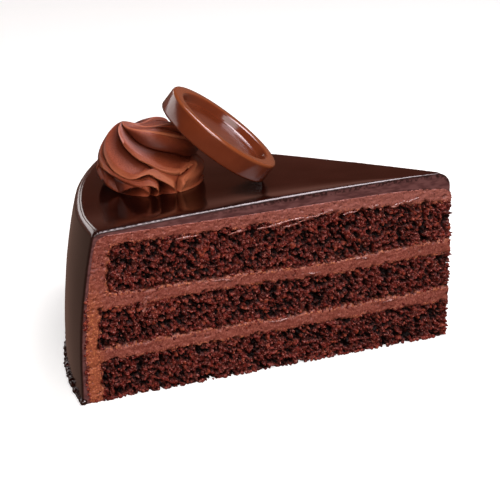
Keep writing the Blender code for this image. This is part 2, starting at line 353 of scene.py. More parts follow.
def grid_shares(block):
    """Every vertex's share along the grid, share across it, and station."""
    x, y, z = get_points(block).T
    return x + 0.5, y + 0.5, np.rint(z).astype(int)


def set_points(block, points):
    block.data.vertices.foreach_set("co", points.astype(np.float32).ravel())
    block.data.update()


def face_outwards(piece):
    """Turns all faces of a closed piece outwards."""
    pick(piece)
    bpy.ops.object.mode_set(mode="EDIT")
    bpy.ops.mesh.select_all(action="SELECT")
    bpy.ops.mesh.normals_make_consistent(inside=False)
    bpy.ops.object.mode_set(mode="OBJECT")
    bpy.ops.object.shade_smooth()


def store(piece, name, values):
    """Keeps one number for each vertex, for the relief and the materials to read."""
    layer = piece.data.attributes.new(name, "FLOAT", "POINT")
    layer.data.foreach_set("value", np.asarray(values, np.float32))

# %% Stations between the two cuts
LAYER_STEPS = np.array((0.0, 3.5, 16.0))


def station_angle(steps, station, radius):
    """The angle of each station: at a fixed distance from a cut, but never past the slice's middle."""
    count = len(steps)
    far = station >= count
    rank = np.where(far, 2 * count - 1 - station, station)
    share = rank / (count - 0.5)
    inward = np.minimum(steps[rank] / radius, share * HALF_ANGLE)
    return np.where(far, HALF_ANGLE - inward, inward - HALF_ANGLE)


NOSE_WIDTH = 1.8


def mark_cuts(piece, station, last, radius):
    """Stores which way each cut faces, as -1 near and +1 far, and how deep a hole there may be, in mm.

    "nose" is 1 at the pointed end and falls to 0 within a few millimetres of it.
    """
    store(piece, "cut", np.where(station == 0, -1.0, 0.0) + np.where(station == last, 1.0, 0.0))
    store(piece, "room", np.minimum(3.0, 0.7 * CUT_SINE * radius))
    store(piece, "nose", bell((radius - TIP_BLUNT - 0.5) / NOSE_WIDTH))

# %% [markdown]
# ## Writing node trees as sums
#
# Materials and geometry nodes both grow long when every node is placed by hand. These short helpers add a
# node, link or set its inputs, and give back an output, so that a pattern reads like a sum. Lengths in a
# pattern are in mm: a noise of 2 has lumps about 2 mm across.

# %% Node helpers
def put(tree, kind, inputs, output=0, **settings):
    """Adds a node, links or sets its inputs by name or number, and returns one of its outputs."""
    made = tree.nodes.new(kind)
    for name, value in settings.items():
        setattr(made, name, value)
    for name, value in inputs.items():
        socket = made.inputs[name]
        if isinstance(value, bpy.types.NodeSocket):
            tree.links.new(value, socket)
        else:
            socket.default_value = value
    return made.outputs[output]


def calc(tree, operation, *values):
    return put(tree, "ShaderNodeMath", dict(enumerate(values)), operation=operation)


def times(tree, first, second):
    return calc(tree, "MULTIPLY", first, second)


def total(tree, *values):
    """The sum of several numbers."""
    result = values[0]
    for value in values[1:]:
        result = calc(tree, "ADD", result, value)
    return result


def centred(tree, value, amount):
    """A noise of 0 to 1 made into one of minus to plus half the amount."""
    return times(tree, calc(tree, "SUBTRACT", value, 0.5), amount)


def ramp(tree, value, low, high):
    """0 at low and 1 at high, with a smooth step between; low may be the larger of the two."""
    names = ("Value", "From Min", "From Max")
    return put(tree, "ShaderNodeMapRange", dict(zip(names, (value, low, high))),
               interpolation_type="SMOOTHSTEP")


def vector_calc(tree, operation, first, second):
    return put(tree, "ShaderNodeVectorMath", {0: first, 1: second}, operation=operation)


def scaled(tree, vector, factor):
    return put(tree, "ShaderNodeVectorMath", {0: vector, "Scale": factor}, operation="SCALE")


def part_of(tree, vector, number=0):
    """One of a vector's parts: 0 for x, 1 for y, 2 for z."""
    return put(tree, "ShaderNodeSeparateXYZ", {"Vector": vector}, output=number)


def noise(tree, where, size, detail=2.0, output="Fac"):
    return put(tree, "ShaderNodeTexNoise", {"Vector": where, "Scale": 1 / size, "Detail": detail},
               output=output)


def cells(tree, where, size, output="Distance", feature="F1"):
    return put(tree, "ShaderNodeTexVoronoi", {"Vector": where, "Scale": 1 / size}, output=output,
               feature=feature)

# %% Geometry-node helpers
def named(tree, name):
    """A number that the piece carries at each vertex."""
    reader = tree.nodes.new("GeometryNodeInputNamedAttribute")
    reader.data_type = "FLOAT"
    reader.inputs["Name"].default_value = name
    return next(socket for socket in reader.outputs if socket.enabled and socket.name == "Attribute")


def keep(tree, geometry, name, value):
    """Stores a number at each vertex of the geometry."""
    writer = tree.nodes.new("GeometryNodeStoreNamedAttribute")
    writer.data_type, writer.domain = "FLOAT", "POINT"
    writer.inputs["Name"].default_value = name
    tree.links.new(geometry, writer.inputs["Geometry"])
    socket = next(item for item in writer.inputs if item.enabled and item.name == "Value")
    tree.links.new(value, socket)
    return writer.outputs["Geometry"]


def run_nodes(piece, name, build):
    """Builds a geometry-node tree with a rule, runs it on the piece as a modifier and applies it."""
    tree = bpy.data.node_groups.new(name, "GeometryNodeTree")
    for way in ("INPUT", "OUTPUT"):
        tree.interface.new_socket("Geometry", in_out=way, socket_type="NodeSocketGeometry")
    start, end = tree.nodes.new("NodeGroupInput"), tree.nodes.new("NodeGroupOutput")
    tree.links.new(build(tree, start.outputs[0]), end.inputs[0])
    pick(piece)
    modifier = piece.modifiers.new(name, "NODES")
    modifier.node_group = tree
    bpy.ops.object.modifier_apply(modifier=name)


def mm_position(tree):
    return scaled(tree, put(tree, "GeometryNodeInputPosition", {}), 1 / MM)


# The pointed end stands a little proud, and moves no further back or forth than this, in mm.
NOSE_PROUD = 0.45
NOSE_SHARE = 0.8
NOSE_BACK, NOSE_FORTH = -1.0, 0.9


def push_cuts(tree, geometry, relief):
    """Moves the vertices of both cuts, and of the pointed end, outwards by the relief, in mm."""
    side = named(tree, "cut")
    on_cut = calc(tree, "ABSOLUTE", side)
    depth = calc(tree, "MAXIMUM", relief, times(tree, named(tree, "room"), -1.0))
    move = times(tree, times(tree, depth, on_cut), MM)
    way = put(tree, "ShaderNodeCombineXYZ",
              {"X": times(tree, on_cut, CUT_SINE), "Y": times(tree, side, CUT_COSINE)})
    ahead = calc(tree, "ADD", times(tree, relief, NOSE_SHARE), NOSE_PROUD)
    ahead = calc(tree, "MINIMUM", calc(tree, "MAXIMUM", ahead, NOSE_BACK), NOSE_FORTH)
    ahead = times(tree, times(tree, named(tree, "nose"), ahead), MM)
    nose = put(tree, "ShaderNodeCombineXYZ", {"X": ahead})
    offset = vector_calc(tree, "ADD", scaled(tree, way, move), nose)
    return put(tree, "GeometryNodeSetPosition", {"Geometry": geometry, "Offset": offset})

# %% [markdown]
# ## The sponges
#
# Cut chocolate sponge is an open foam: grains of crumb about a millimetre across, with black holes
# between them. A picture of crumb on a flat face would look printed, so the relief is real.
# Cell noise makes the grains, a random drop for each cell tears some of them out, and a slower noise opens
# the larger holes. Each sponge runs a little way over its neighbours, and falls back there, so that the
# edge between sponge and cream is as ragged as a knife leaves it.

# %% Sponge relief
GRAIN = 1.05
GRAIN_RISE = 0.85
HOLE = 1.6
HOLE_DEPTH = 1.4
TORN_DEPTH = 1.15
CRUMB_SUNK = 0.18
LAYER_OVERLAP = 1.0


def ragged_fall(tree, spot, reach, steepness):
    """How far a layer's rim falls back: nothing inside the layer, more the further it runs outside."""
    fine_tear = centred(tree, noise(tree, spot, 1.5), reach)
    slow_tear = centred(tree, noise(tree, spot, 4.0), reach)
    inside = calc(tree, "ADD", named(tree, "edge"), calc(tree, "ADD", fine_tear, slow_tear))
    return times(tree, calc(tree, "MINIMUM", inside, 0.0), steepness)


def sponge_relief(tree, geometry):
    spot = mm_position(tree)
    stir = vector_calc(tree, "SUBTRACT", noise(tree, spot, 1.3, output="Color"), (0.5, 0.5, 0.5))
    stirred = vector_calc(tree, "ADD", spot, scaled(tree, stir, 1.3))
    distance = cells(tree, stirred, GRAIN)
    colour = cells(tree, stirred, GRAIN, output="Color")
    dome = times(tree, ramp(tree, distance, 0.68, 0.10), GRAIN_RISE)
    torn = times(tree, ramp(tree, part_of(tree, colour), 0.36, 0.20), -TORN_DEPTH)
    cluster = centred(tree, noise(tree, spot, 3.2), 1.0)
    fine = centred(tree, noise(tree, spot, 0.5), 0.5)
    bead = times(tree, cells(tree, stirred, 0.5), -0.35)
    hole = times(tree, ramp(tree, noise(tree, stirred, HOLE), 0.54, 0.62), -HOLE_DEPTH)
    body = total(tree, dome, torn, cluster, fine, bead, hole)
    relief = total(tree, body, ragged_fall(tree, spot, 2.0, 1.8), -CRUMB_SUNK)
    shown = calc(tree, "MAXIMUM", calc(tree, "ABSOLUTE", named(tree, "cut")), named(tree, "nose"))
    # How deep each place lies, kept on the cuts only, for the painted shade in the holes.
    geometry = keep(tree, geometry, "pit_shade", times(tree, ramp(tree, relief, 0.05, -0.75), shown))
    geometry = keep(tree, geometry, "tint", times(tree, part_of(tree, colour, 1), shown))
    return push_cuts(tree, geometry, relief)

# %% Make the three sponges
SPONGE_CELLS = (590, 66)
FAR_INSIDE = 9.0


def make_layer(name, under, over, grid, edge_rule):
    """A layer between two heights, run a little over its neighbours."""
    last = 2 * len(LAYER_STEPS) - 1
    block = grid_block(name, *grid, last + 1)
    along, across, station = grid_shares(block)
    radius = TIP_BLUNT + along * CAKE_RADIUS
    angle = station_angle(LAYER_STEPS, station, radius)
    for _ in range(2):
        low = under(radius, angle) - (0.0 if under is base else LAYER_OVERLAP)
        high = over(radius, angle) + LAYER_OVERLAP
        height = low + across * (high - low)
        inner, outer = tip_radius(height), core_radius(height) + LAYER_OVERLAP
        radius = inner + along * (outer - inner)
    angle = station_angle(LAYER_STEPS, station, radius)
    set_points(block, place(radius, angle, height))
    face_outwards(block)
    mark_cuts(block, station, last, radius)
    store(block, "edge", edge_rule(radius, angle, height, under, over))
    return block


def sponge_edge(radius, angle, height, under, over):
    """How far inside its own layer each vertex lies, in mm: below zero where it runs over a neighbour."""
    below = FAR_INSIDE if under is base else height - under(radius, angle)
    inside = np.minimum(below, over(radius, angle) - height)
    return np.minimum(inside, core_radius(height) - radius)


def make_sponge(name, node, under, over):
    sponge = make_layer(name, under, over, SPONGE_CELLS, sponge_edge)
    run_nodes(sponge, "crumb", sponge_relief)
    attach(sponge, "root")
    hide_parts(node)
    return sponge


sponges = [
    make_sponge("bottom_sponge_crumb", "sponge_bottom", base, sponge_1_top),
    make_sponge("middle_sponge_crumb", "sponge_middle", filling_1_top, sponge_2_top),
    make_sponge("top_sponge_crumb", "sponge_top", filling_2_top, sponge_3_top),
]
print("faces in one sponge:", len(sponges[0].data.polygons))

# %% [markdown]
# ### Sponge finish
#
# Cocoa crumb is dark red-brown where it is torn, and it is moist, so the grains glint; pale flecks are
# partly pale crumb and partly painted glints. The relief left two numbers at each vertex: how deep it lies,
# and a random one for each grain. The colour follows them, so that it never slides off the shape, and the
# deep holes are painted nearly black as painted shade.

# %% Material helpers
def new_material(name):
    material = bpy.data.materials.new(name)
    material.use_nodes = True
    return material, material.node_tree, material.node_tree.nodes["Principled BSDF"]


def object_mm(tree):
    """Where a point lies on the piece, in mm."""
    return scaled(tree, put(tree, "ShaderNodeTexCoord", {}, output="Object"), 1 / MM)


def carried(tree, name):
    """A number that the mesh carries, for a material."""
    return put(tree, "ShaderNodeAttribute", {}, output="Fac", attribute_name=name)


def blend_colours(tree, share, first, second):
    made = tree.nodes.new("ShaderNodeMix")
    made.data_type = "RGBA"
    for socket, value in ((made.inputs[0], share), (made.inputs[6], first), (made.inputs[7], second)):
        if isinstance(value, bpy.types.NodeSocket):
            tree.links.new(value, socket)
        elif isinstance(value, tuple):
            socket.default_value = (*value, 1.0)
        else:
            socket.default_value = value
    return made.outputs[2]


def finish_shader(tree, shader, colour, roughness, height=None, bump_mm=0.1):
    """Links colour, roughness and a bump of the given depth to the shader."""
    tree.links.new(colour, shader.inputs["Base Color"])
    if isinstance(roughness, bpy.types.NodeSocket):
        tree.links.new(roughness, shader.inputs["Roughness"])
    else:
        shader.inputs["Roughness"].default_value = roughness
    if height is not None:
        normal = put(tree, "ShaderNodeBump", {"Height": height, "Strength": 1.0, "Distance": bump_mm * MM},
                     output="Normal")
        tree.links.new(normal, shader.inputs["Normal"])


def give(piece, material):
    piece.data.materials.clear()
    piece.data.materials.append(material)

# %% Sponge material
DARK_CRUMB, BROWN_CRUMB = (0.070, 0.0060, 0.0042), (0.165, 0.0175, 0.0120)
RED_CRUMB, MOTTLED_CRUMB = (0.29, 0.050, 0.024), (0.32, 0.060, 0.042)
PALE_FLECK_AND_GLINT, PAINTED_HOLE_SHADE = (0.46, 0.17, 0.135), (0.0025, 0.0002, 0.0001)


def sponge_material():
    material, tree, shader = new_material("sponge")
    spot = object_mm(tree)
    tint = carried(tree, "tint")
    brown = blend_colours(tree, ramp(tree, tint, 0.15, 0.8), DARK_CRUMB, BROWN_CRUMB)
    red = blend_colours(tree, ramp(tree, tint, 0.84, 0.94), brown, RED_CRUMB)
    mottled = blend_colours(tree, ramp(tree, noise(tree, spot, 0.6), 0.54, 0.66), red, MOTTLED_CRUMB)
    # Pale flecks: partly pale crumb, partly painted glints.
    fleck_and_glint = ramp(tree, noise(tree, spot, 0.4, 0.0), 0.66, 0.72)
    flecked_and_glinted = blend_colours(tree, fleck_and_glint, mottled, PALE_FLECK_AND_GLINT)
    # Painted shade: the deeper a place lies in the relief, the nearer to black it is painted.
    colour = blend_colours(tree, carried(tree, "pit_shade"), flecked_and_glinted, PAINTED_HOLE_SHADE)
    rough = calc(tree, "ADD", 0.24, times(tree, noise(tree, spot, 1.7), 0.45))
    shader.inputs["Specular IOR Level"].default_value = 0.17
    finish_shader(tree, shader, colour, rough, noise(tree, spot, 0.3, 3.0), 0.16)
    return material


SPONGE_MATERIAL = sponge_material()
for sponge in sponges:
    give(sponge, SPONGE_MATERIAL)

# %% [markdown]
# ## The fillings
#
# Chocolate cream that a knife has cut through is smooth and a little streaky. The fillings are the same
# kind of block as the sponges, with a softer relief: long shallow drags along the cut, slow lumps, a fine
# grain and a few nicks, whose sunk places are painted dark as painted shade. The cream pales towards the
# top right and turns golden at the left edge, where its bright specks are partly painted glints. Its ragged
# rims carry painted orange glints where they are thin.

# %% Cream relief
CREAM_PROUD = 0.10
NICK_DEPTH = 0.6


def cream_relief(tree, geometry):
    spot = mm_position(tree)
    stretched = vector_calc(tree, "MULTIPLY", spot, (0.4, 0.4, 1.0))
    drag = centred(tree, noise(tree, stretched, 1.0), 0.7)
    lump = centred(tree, noise(tree, spot, 2.2), 0.9)
    grain = centred(tree, noise(tree, spot, 0.5), 0.5)
    nick = times(tree, ramp(tree, noise(tree, spot, 1.2), 0.62, 0.70), -NICK_DEPTH)
    relief = total(tree, drag, lump, grain, nick, ragged_fall(tree, spot, 2.6, 1.3), CREAM_PROUD)
    shown = calc(tree, "ABSOLUTE", named(tree, "cut"))
    # How deep each place lies, kept on the cuts only, for the painted shade in the nicks.
    geometry = keep(tree, geometry, "pit_shade", times(tree, ramp(tree, relief, -0.1, -1.0), shown))
    return push_cuts(tree, geometry, relief)

# %% Make the two fillings
FILLING_CELLS = (460, 18)


def filling_edge(radius, angle, height, under, over):
    return np.minimum(height - under(radius, angle), over(radius, angle) - height)


def make_filling(name, node, under, over):
    filling = make_layer(name, under, over, FILLING_CELLS, filling_edge)
    run_nodes(filling, "spread", cream_relief)
    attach(filling, "root")
    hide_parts(node)
    return filling


fillings = [
    make_filling("lower_filling_cream", "filling_lower", sponge_1_top, filling_1_top),
    make_filling("upper_filling_cream", "filling_upper", sponge_2_top, filling_2_top),
]
print("faces in one filling:", len(fillings[0].data.polygons))

# %% Cream material
CREAM_BROWN, CREAM_LIGHTER = (0.235, 0.056, 0.040), (0.285, 0.074, 0.052)
PALE_CREAM, GOLDEN_CREAM = (0.31, 0.100, 0.080), (0.35, 0.088, 0.042)
LIGHT_STREAK, GOLDEN_GLINT_SPECK, DARK_STREAK = (0.40, 0.130, 0.092), (0.62, 0.205, 0.085), (0.11, 0.020, 0.014)
PAINTED_RIM_GLINT, PAINTED_NICK_SHADE = (0.56, 0.175, 0.075), (0.035, 0.005, 0.003)


def cream_material():
    material, tree, shader = new_material("cream")
    spot = object_mm(tree)
    x, z = part_of(tree, spot), part_of(tree, spot, 2)
    fine = noise(tree, spot, 0.5, 3.0)
    brown = blend_colours(tree, ramp(tree, noise(tree, spot, 7.0), 0.35, 0.65), CREAM_BROWN, CREAM_LIGHTER)
    blush = times(tree, ramp(tree, x, -30.0, 30.0), ramp(tree, z, 44.0, 48.0))
    pale = blend_colours(tree, blush, brown, PALE_CREAM)
    golden = times(tree, ramp(tree, x, -42.0, -46.5), ramp(tree, z, 42.0, 24.0))
    toned = blend_colours(tree, golden, pale, GOLDEN_CREAM)
    # At the left edge the bright specks are golden, partly painted glints.
    light = blend_colours(tree, golden, LIGHT_STREAK, GOLDEN_GLINT_SPECK)
    warm = blend_colours(tree, ramp(tree, fine, 0.52, 0.66), toned, light)
    dark = blend_colours(tree, ramp(tree, fine, 0.40, 0.30), warm, DARK_STREAK)
    # Painted highlight: thin places near a layer's rim are painted as orange glints.
    rim = times(tree, ramp(tree, carried(tree, "edge"), 0.6, -0.3), ramp(tree, fine, 0.50, 0.60))
    rim_glinted = blend_colours(tree, rim, dark, PAINTED_RIM_GLINT)
    # Painted shade: sunk places and nicks are painted nearly black.
    colour = blend_colours(tree, carried(tree, "pit_shade"), rim_glinted, PAINTED_NICK_SHADE)
    rough = calc(tree, "ADD", 0.28, times(tree, noise(tree, spot, 2.5), 0.3))
    shader.inputs["Specular IOR Level"].default_value = 0.3
    finish_shader(tree, shader, colour, rough, fine, 0.16)
    return material


CREAM_MATERIAL = cream_material()
for filling in fillings:
    give(filling, CREAM_MATERIAL)

# %% [markdown]
# ## The coat and the glaze
#
# Both run along the top, round a corner and down the curved side. One share along the block follows that
# path, and the other goes from its inner face to its outer one. The glaze is poured, so its outer face is
# smooth and its cut edges are rounded by its own skin: that rounding catches the light as a bright line.
# On the near cut the knife has left the line a little uneven. Cut glaze is paler than its skin and streaky,
# with dark beads just under the skin.

# %% A path over the top and down the side
TOP_SHARE = 0.66
CORNER_SHARE = 0.045
QUARTER_TURN = math.pi / 2


def over_and_down(share, angle, top, side, corner):
    """The radius and height of a path that runs along the top, round the corner and down the side."""
    rim_height = top(side(COAT_TOP) + 0.0 * angle, angle)
    bend = side(rim_height) - corner
    shoulder = rim_height - corner
    on_top = np.clip(share / TOP_SHARE, 0.0, 1.0)
    round_it = np.clip((share - TOP_SHARE) / CORNER_SHARE, 0.0, 1.0) * QUARTER_TURN
    down = np.clip((share - TOP_SHARE - CORNER_SHARE) / (1 - TOP_SHARE - CORNER_SHARE), 0.0, 1.0)
    # The first of the way is spent on the arc at the pointed end, so that its mesh is fine there.
    inner = TIP_BLUNT + TIP_LEAN
    travel = on_top * (bend - inner + TIP_ROUND * (QUARTER_TURN - 1))
    arc = np.minimum(travel / TIP_ROUND, QUARTER_TURN)
    past_arc = np.maximum(travel - TIP_ROUND * QUARTER_TURN, 0.0)
    radius_top = inner + TIP_ROUND * (1 - np.cos(arc)) + past_arc
    height_corner = shoulder + corner * np.cos(round_it)
    radius_corner = side(height_corner) - corner * (1 - np.sin(round_it))
    height_side = shoulder * (1 - down)
    on_the_top = share <= TOP_SHARE
    on_the_side = share > TOP_SHARE + CORNER_SHARE
    radius = np.where(on_the_top, radius_top, np.where(on_the_side, side(height_side), radius_corner))
    height = np.where(on_the_top, top(radius_top, angle), np.where(on_the_side, height_side, height_corner))
    return radius, height

# %% Make the coat
COAT_CELLS = (560, 18)
COAT_LIFT = 0.1
COAT_CORNER = 3.0
TOP_OVERLAP, SIDE_OVERLAP = 0.15, 0.1


def coat_inner(share, angle):
    """The coat's inner face, run a little into the sponges and lifted a little off their flat base."""
    radius, height = over_and_down(share, angle, lambda r, a: sponge_3_top(r, a) - LAYER_OVERLAP,
                                   lambda h: core_radius(h) - LAYER_OVERLAP, 1.0)
    return radius, np.maximum(height, COAT_LIFT)


def coat_outer(share, angle, _from_cut):
    """The coat's outer face, run a little into the glaze; it has no lip beside the cuts."""
    return over_and_down(share, angle, lambda r, a: coat_top(r, a) + TOP_OVERLAP,
                         lambda h: coat_radius(h) + SIDE_OVERLAP, COAT_CORNER)


def bent_block(name, grid, steps, inner_face, outer_face):
    """A block between two faces that both run over the top and down the side."""
    last = 2 * len(steps) - 1
    block = grid_block(name, *grid, last + 1)
    along, across, station = grid_shares(block)
    radius = TIP_BLUNT + 1.0 + np.clip(along / TOP_SHARE, 0.0, 1.0) * (CAKE_RADIUS - 6)
    for _ in range(3):
        angle = station_angle(steps, station, radius)
        from_cut = radius * (HALF_ANGLE - np.abs(angle))
        near, far = inner_face(along, angle), outer_face(along, angle, from_cut)
        radius = near[0] + across * (far[0] - near[0])
        height = near[1] + across * (far[1] - near[1])
    set_points(block, place(radius, angle, height))
    face_outwards(block)
    mark_cuts(block, station, last, radius)
    return block, across, from_cut, radius, height


def make_coat():
    coat, across, *_ = bent_block("coat_cream", COAT_CELLS, LAYER_STEPS, coat_inner, coat_outer)
    store(coat, "edge", across * 4.0 - LAYER_OVERLAP)
    run_nodes(coat, "spread", cream_relief)
    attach(coat, "root")
    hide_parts("cream_coat")
    give(coat, CREAM_MATERIAL)
    return coat


coat = make_coat()
print("faces in the coat:", len(coat.data.polygons))

# %% Make the glaze
GLAZE_CELLS = (560, 9)
GLAZE_STEPS = np.array((0.0, 0.1, 0.25, 0.45, 0.7, 1.0, 1.5, 2.4, 3.8, 6.0, 9.0, 13.0, 18.0, 24.0, 31.0,
                        39.0, 48.0))
LIP_RADIUS, LIP_FLATNESS = 1.10, 0.62
LIP_WOBBLE, SKIN_SWELL = 0.28, 0.22
GLAZE_CORNER = 1.5


def lip_drop(from_cut):
    """How far the skin of the glaze curls down beside a cut."""
    left = np.clip(LIP_RADIUS - from_cut, 0.0, LIP_RADIUS)
    return LIP_FLATNESS * (LIP_RADIUS - np.sqrt(LIP_RADIUS ** 2 - left ** 2))


def glaze_outer(share, angle, from_cut):
    drop = lip_drop(from_cut)
    return over_and_down(share, angle, lambda r, a: glaze_top(r, a) - drop,
                         lambda h: side_radius(h) - 0.7 * drop, GLAZE_CORNER)


def glaze_inner(share, angle):
    return over_and_down(share, angle, coat_top, coat_radius, COAT_CORNER)


def glaze_relief(tree, geometry):
    """A small wobble along the lip, and a slow swell of the whole skin."""
    spot = mm_position(tree)
    wobble = centred(tree, noise(tree, spot, 1.2), LIP_WOBBLE)
    slow = centred(tree, noise(tree, spot, 16.0, 1.0), SKIN_SWELL)
    amount = calc(tree, "ADD", times(tree, wobble, named(tree, "lip")), slow)
    skin = scaled(tree, put(tree, "GeometryNodeInputNormal", {}), times(tree, amount, MM))
    offset = scaled(tree, skin, named(tree, "skin"))
    return put(tree, "GeometryNodeSetPosition", {"Geometry": geometry, "Offset": offset})


def make_glaze():
    glaze, across, from_cut, radius, height = bent_block(
        "poured_glaze", GLAZE_CELLS, GLAZE_STEPS, glaze_inner, glaze_outer)
    near_side = get_points(glaze)[:, 1] < 0
    store(glaze, "lip", bell(from_cut / 0.9) * smooth_step((across - 0.5) / 0.4) * near_side)
    store(glaze, "sliced", (from_cut < 0.02) * smooth_step((1.02 - across) / 0.05))
    store(glaze, "depth", (1 - across) * (glaze_top(radius, 0.0 * radius) - coat_top(radius, 0.0 * radius)))
    store(glaze, "skin", (across > 0.99) * smooth_step(height / 2.0))
    run_nodes(glaze, "skin", glaze_relief)
    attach(glaze, "root")
    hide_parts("glaze")
    return glaze


glaze = make_glaze()
print("faces in the glaze:", len(glaze.data.polygons))

# %% Glaze material
SKIN_DARK, SKIN_LIGHTER = (0.012, 0.0020, 0.0011), (0.019, 0.0032, 0.0017)
FLESH_DARK, FLESH_LIGHTER = (0.090, 0.031, 0.031), (0.165, 0.066, 0.064)
BEAD_BLACK = (0.020, 0.004, 0.0035)


def glaze_material():
    material, tree, shader = new_material("glaze")
    spot = object_mm(tree)
    slow = noise(tree, spot, 18.0)
    skin = blend_colours(tree, ramp(tree, slow, 0.3, 0.7), SKIN_DARK, SKIN_LIGHTER)
    streak = noise(tree, vector_calc(tree, "MULTIPLY", spot, (0.3, 0.3, 1.0)), 0.9)
    flesh = blend_colours(tree, ramp(tree, streak, 0.35, 0.65), FLESH_DARK, FLESH_LIGHTER)
    to_the_right = ramp(tree, part_of(tree, spot), -30.0, 10.0)
    beaded = times(tree, ramp(tree, noise(tree, spot, 0.9), 0.45, 0.58), to_the_right)
    bead = times(tree, beaded, ramp(tree, carried(tree, "depth"), 1.3, 0.5))
    flesh = blend_colours(tree, bead, flesh, BEAD_BLACK)
    sliced = carried(tree, "sliced")
    colour = blend_colours(tree, sliced, skin, flesh)
    gloss = calc(tree, "ADD", 0.11, times(tree, noise(tree, spot, 9.0), 0.08))
    frosted = times(tree, carried(tree, "lip"), 0.14)
    rough = total(tree, gloss, frosted, times(tree, sliced, 0.2))
    finish_shader(tree, shader, colour, rough, noise(tree, spot, 6.0, 1.0), 0.01)
    return material


GLAZE_MATERIAL = glaze_material()
give(glaze, GLAZE_MATERIAL)

# %% [markdown]
# ## The rosette
#
# The cream was piped through a star nozzle that turned as it rose. Each point of the star leaves a ridge.
# A ridge winds down from the peak, flattens out a third of the way up, and there its free edge waves and
# hooks back under itself. Below each ridge is a long hollow wall, then a crease, and then the shelf of the
# next ridge. A sheet of faces is wrapped round and closed, and a rule gives each point its distance from
# the middle. The hand was not even, so the ridges aren't either.

# %% Rosette sizes
ROSETTE_PLACE = (-31.3, 0.5)
ROSETTE_RADIUS = 17.3
ROSETTE_HEIGHT = 18.4
PEAK_LEAN = (-9.0, 0.5)

# Each ridge is drawn as a line of bearings in degrees (-90 is the near side) and shares of the height,
# from its foot to the peak. The stations are foot, hook, end of the frill, its wave, its trough, and
# seven more on the way up to the peak.
FRONT_RIDGE = ((-56, 0.0), (-51, 0.16), (-25, 0.28), (-32, 0.34), (-52, 0.30), (-68, 0.37), (-80, 0.49),
               (-92, 0.585), (-103, 0.70), (-118, 0.85), (-130, 0.93), (-145, 1.0))
LEFT_RIDGE = ((-61, 0.0), (-66, 0.15), (-77, 0.29), (-86, 0.365), (-106, 0.295), (-125, 0.37),
              (-141, 0.50), (-153, 0.585), (-166, 0.70), (-181, 0.85), (-193, 0.93), (-208, 1.0))
LOW_RIDGE = ((-84, 0.0), (-81, 0.07), (-82, 0.15), (-89, 0.205), (-100, 0.185), (-118, 0.26),
             (-140, 0.35), (-165, 0.43), (-184, 0.60), (-204, 0.85), (-216, 0.93), (-230, 1.0))
LOWEST_RIDGE = ((-94, 0.0), (-91, 0.05), (-92, 0.12), (-101, 0.18), (-112, 0.14), (-130, 0.03),
                (-146, 0.17), (-168, 0.26), (-200, 0.48), (-226, 0.85), (-240, 0.93), (-255, 1.0))
RIGHT_RIDGE = ((60, 0.0), (65, 0.15), (78, 0.25), (72, 0.29), (54, 0.27), (38, 0.32), (26, 0.42),
               (15, 0.54), (2, 0.67), (-30, 0.865), (-80, 0.935), (-130, 1.0))
BACK_RIDGE = ((76, 0.0), (81, 0.16), (104, 0.28), (98, 0.34), (78, 0.30), (62, 0.37), (50, 0.48),
              (38, 0.60), (27, 0.72), (12, 0.90), (-2, 0.885), (-10, 1.0))

# %% Ridge and disc sizes
RIDGE_CELLS = 56
ROSETTE_ROWS = 190
RIDGE_DEPTH = 0.48
DEEPEST = 5.2
SLOT_DEPTH, SLOT_WIDTH = 2.4, 0.60
SHELF_LIFT = 1.6

DISC_CENTRE = (-9.45, -4.25, 70.45)
DISC_TILT = math.radians(37.1)
DISC_HEADING = math.radians(3.3)
DISC_RADIUS, DISC_THICKNESS = 18.9, 6.4
DISC_AXIS = (math.sin(DISC_TILT) * math.cos(DISC_HEADING), math.sin(DISC_TILT) * math.sin(DISC_HEADING),
             math.cos(DISC_TILT))

# %% The ridges in turn
def turned(ridge, turn, lowered=0.0):
    """The same ridge further round the rosette, and lower on its way to the peak."""
    return tuple((bearing + turn, level - lowered * (0.5 < level < 0.99)) for bearing, level in ridge)


# Each ridge has the share of the way to the next one at which the crease lies, high up and at the frill,
# how deep that crease is high up and at the foot, and its extra bulk in mm.
RIDGES = (
    (LOWEST_RIDGE, 0.6, 0.4, 1.0, 1.0, 0.0),
    (LOW_RIDGE, 0.6, 0.35, 1.0, 1.0, 0.0),
    (LEFT_RIDGE, 0.40, 0.85, 1.0, 0.3, 0.0),
    (FRONT_RIDGE, 0.14, 0.5, 1.0, 0.2, 0.0),
    (RIGHT_RIDGE, 0.50, 0.5, 0.35, 0.2, 3.6),
    (BACK_RIDGE, 0.50, 0.5, 0.5, 0.5, 10.0),
    (turned(BACK_RIDGE, 32, -0.03), 0.50, 0.5, 1.0, 1.0, 9.0),
    (turned(BACK_RIDGE, 88, 0.09), 0.50, 0.5, 1.0, 1.0, 0.0),
)
# The share of its bulk that a ridge has at each of its stations, from its foot to the peak.
BULK_STATIONS = (0.1, 0.2, 0.3, 0.4, 0.5, 0.7, 0.9, 1.0, 1.0, 1.0, 0.1, 0.0)

# %% Smooth lines along the ridges
def smooth_line(values, rows):
    """Evenly spaced points on a smooth curve through a few values."""
    values = np.array(values, float)
    spots = np.linspace(0, len(values) - 1, rows)
    slopes = np.gradient(values)
    left = np.minimum(spots.astype(int), len(values) - 2)
    step = spots - left
    start, end = values[left], values[left + 1]
    bulge = (slopes[left] * (1 - step) - slopes[left + 1] * step) * step * (1 - step)
    return start + (end - start) * smooth_step(step) + bulge


def ridge_lines(rows):
    """The bearing, level and bulk of every ridge at every row; the first ridge comes again at the end."""
    bearings = [smooth_line([point[0] for point in line], rows) for line, *_ in RIDGES]
    levels = [smooth_line([point[1] for point in line], rows) for line, *_ in RIDGES]
    share = smooth_line(BULK_STATIONS, rows)
    bulks = [bulk * share for *_, bulk in RIDGES]
    bearings.append(bearings[0] + 360.0)
    levels.append(levels[0])
    bulks.append(bulks[0])
    return np.radians(np.array(bearings)), np.array(levels), np.array(bulks)

